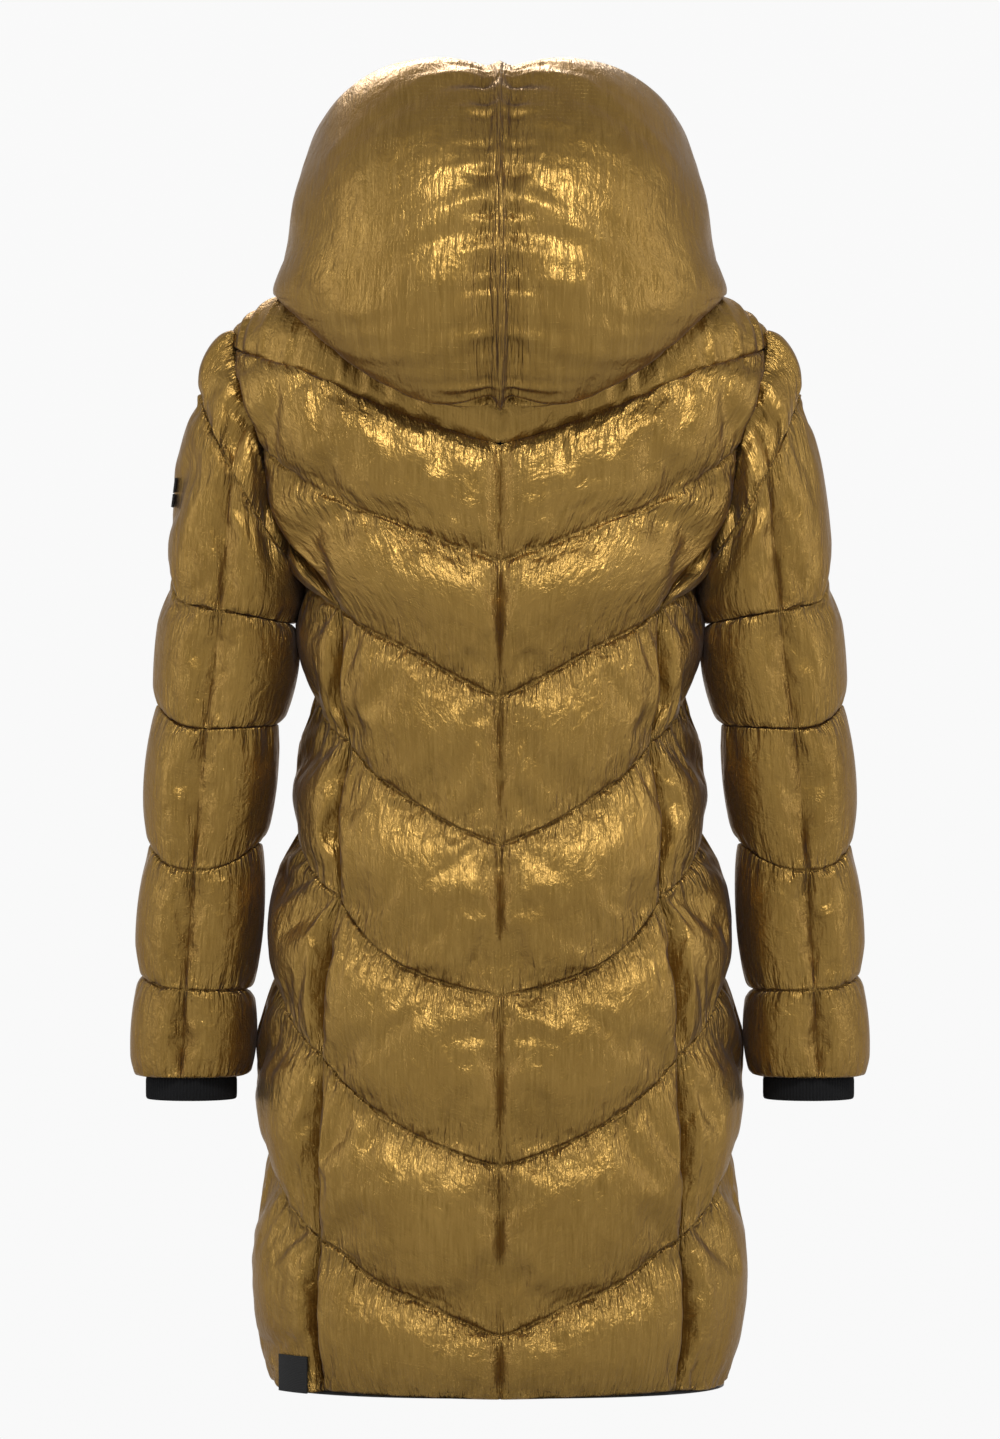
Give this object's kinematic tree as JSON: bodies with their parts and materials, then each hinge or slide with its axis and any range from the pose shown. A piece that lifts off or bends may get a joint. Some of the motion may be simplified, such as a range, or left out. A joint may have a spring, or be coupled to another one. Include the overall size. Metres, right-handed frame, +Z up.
{
  "type": "hooded quilted coat",
  "caption": "Knee-length padded coat with chevron quilting, slanted side seams, a large puffed hood, knitted inner cuffs, a full front zip and slanted zip pockets.",
  "frame": {"origin": "middle of the hanger loop, inside the back of the neck, where a hook carries the coat", "axes": "+Z up along the hanging coat, -Y out of the front zip, +Y out of the back, +X to the wearer's left"},
  "size_m": [0.6414, 0.337, 1.171],
  "materials": {
    "gold_shell": "metallic woven nylon, crinkled",
    "wadding": "matte",
    "lining": "smooth woven",
    "rib_knit": "ribbed knit",
    "woven_tape": "matte woven",
    "label": "matte woven",
    "zip_metal": "satin"
  },
  "bodies": {
    "coat": {"back_lining": "lining", "front_zip_left_tape": "woven_tape", "front_zip_left_teeth": "zip_metal", "front_zip_right_tape": "woven_tape", "front_zip_right_teeth": "zip_metal", "hanger_loop": "woven_tape", "hem_label": "label", "hood_left_drape": "gold_shell", "hood_right_drape": "gold_shell", "left_back_shell": "gold_shell", "left_back_wadding": "wadding", "left_front_lining": "lining", "left_front_shell": "gold_shell", "left_front_wadding": "wadding", "left_pocket_bag": "lining", "left_pocket_welt": "gold_shell", "left_pocket_zip_chain": "zip_metal", "left_side_back_shell": "gold_shell", "left_side_front_shell": "gold_shell", "right_back_shell": "gold_shell", "right_back_wadding": "wadding", "right_front_lining": "lining", "right_front_shell": "gold_shell", "right_front_wadding": "wadding", "right_pocket_bag": "lining", "right_pocket_welt": "gold_shell", "right_pocket_zip_chain": "zip_metal", "right_side_back_shell": "gold_shell", "right_side_front_shell": "gold_shell", "wind_flap": "gold_shell"},
    "hood": {"hood_left_shell": "gold_shell", "hood_left_wadding": "wadding", "hood_lining": "lining", "hood_right_shell": "gold_shell", "hood_right_wadding": "wadding"},
    "left_upper_arm": {"left_upper_sleeve_inner_shell": "gold_shell", "left_upper_sleeve_lining": "lining", "left_upper_sleeve_outer_shell": "gold_shell", "left_upper_sleeve_wadding": "wadding", "sleeve_badge": "label"},
    "right_upper_arm": {"right_upper_sleeve_inner_shell": "gold_shell", "right_upper_sleeve_lining": "lining", "right_upper_sleeve_outer_shell": "gold_shell", "right_upper_sleeve_wadding": "wadding"},
    "left_forearm": {"left_lower_sleeve_inner_shell": "gold_shell", "left_lower_sleeve_lining": "lining", "left_lower_sleeve_outer_shell": "gold_shell", "left_lower_sleeve_wadding": "wadding", "left_rib_cuff": "rib_knit"},
    "right_forearm": {"right_lower_sleeve_inner_shell": "gold_shell", "right_lower_sleeve_lining": "lining", "right_lower_sleeve_outer_shell": "gold_shell", "right_lower_sleeve_wadding": "wadding", "right_rib_cuff": "rib_knit"},
    "front_zip_runner": {"front_zip_slider": "zip_metal"},
    "front_zip_tab": {"front_zip_pull": "zip_metal"},
    "left_pocket_runner": {"left_pocket_zip_slider": "zip_metal"},
    "left_pocket_tab": {"left_pocket_zip_pull": "zip_metal"},
    "right_pocket_runner": {"right_pocket_zip_slider": "zip_metal"},
    "right_pocket_tab": {"right_pocket_zip_pull": "zip_metal"}
  },
  "joints": [
    {"name": "hood_tilt", "type": "hinge", "parent": "coat", "child": "hood", "pos_m": [0, -0.026, 0.01845], "axis": [-1, 0, 0], "range_deg": [0, 30], "deforming": ["hood_left_drape", "hood_right_drape"]},
    {"name": "left_shoulder_raise", "type": "hinge", "parent": "coat", "child": "left_upper_arm", "pos_m": [0.2295, -0.056, -0.052], "axis": [0, -1, 0], "range_deg": [0, 40]},
    {"name": "left_elbow_bend", "type": "hinge", "parent": "left_upper_arm", "child": "left_forearm", "pos_m": [0.254, -0.081, -0.433], "axis": [-1, 0, 0], "range_deg": [0, 50]},
    {"name": "right_shoulder_raise", "type": "hinge", "parent": "coat", "child": "right_upper_arm", "pos_m": [-0.2295, -0.056, -0.052], "axis": [0, 1, 0], "range_deg": [0, 40]},
    {"name": "right_elbow_bend", "type": "hinge", "parent": "right_upper_arm", "child": "right_forearm", "pos_m": [-0.254, -0.081, -0.433], "axis": [-1, 0, 0], "range_deg": [0, 50]},
    {"name": "front_zip_slide", "type": "slide", "parent": "coat", "child": "front_zip_runner", "axis": [0, -0.012, -0.9999], "range_m": [0, 0.918], "deforming": ["front_zip_left_teeth", "front_zip_right_teeth"]},
    {"name": "front_zip_pull_swing", "type": "hinge", "parent": "front_zip_runner", "child": "front_zip_tab", "pos_m": [0, -0.19614, -0.02143], "axis": [-1, 0, 0], "range_deg": [0, 120]},
    {"name": "left_pocket_zip_slide", "type": "slide", "parent": "coat", "child": "left_pocket_runner", "axis": [0.1499, 0.0409, -0.9879], "range_m": [0, 0.1334]},
    {"name": "left_pocket_pull_swing", "type": "hinge", "parent": "left_pocket_runner", "child": "left_pocket_tab", "pos_m": [0.13257, -0.18145, -0.54414], "axis": [-0.8572, -0.4925, -0.1505], "range_deg": [0, 120]},
    {"name": "right_pocket_zip_slide", "type": "slide", "parent": "coat", "child": "right_pocket_runner", "axis": [-0.1499, 0.0409, -0.9879], "range_m": [0, 0.1334]},
    {"name": "right_pocket_pull_swing", "type": "hinge", "parent": "right_pocket_runner", "child": "right_pocket_tab", "pos_m": [-0.13257, -0.18145, -0.54414], "axis": [-0.8572, 0.4925, 0.1505], "range_deg": [0, 120]}
  ]
}
